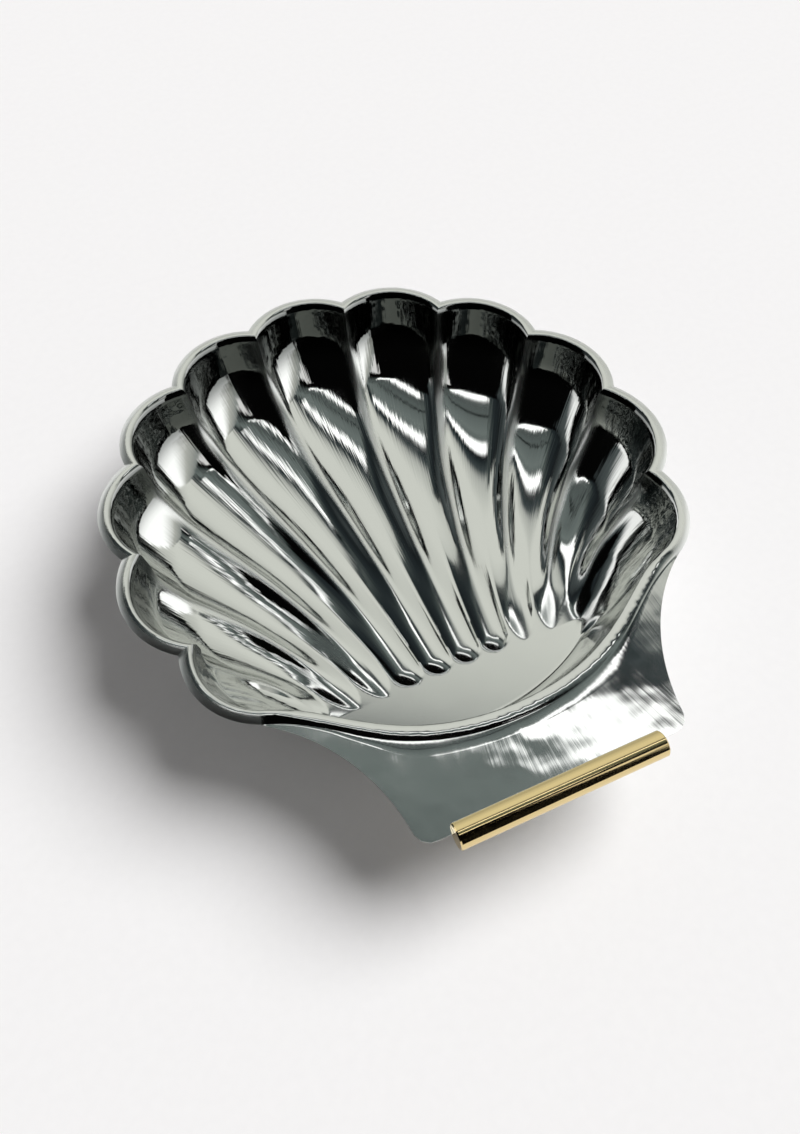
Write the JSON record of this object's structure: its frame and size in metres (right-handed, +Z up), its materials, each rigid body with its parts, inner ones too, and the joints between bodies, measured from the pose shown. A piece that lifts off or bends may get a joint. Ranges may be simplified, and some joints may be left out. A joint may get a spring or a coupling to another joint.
{
  "type": "shell dish",
  "caption": "Scallop-shaped metal dish with fluted bowl, lobed rim and a flat front tab gripped by a brass rod handle.",
  "frame": {"origin": "on the table, under the middle of the dish's whole length and width", "axes": "+X to the right seen from the handle, +Y from the handle to the back lobes, +Z up out of the bowl"},
  "size_m": [0.1926, 0.2167, 0.041],
  "materials": {
    "chrome_plate": "mirror polished",
    "polished_brass": "polished"
  },
  "bodies": {
    "root": {"shell_dish": "chrome_plate", "handle_rod": "polished_brass"}
  },
  "joints": []
}
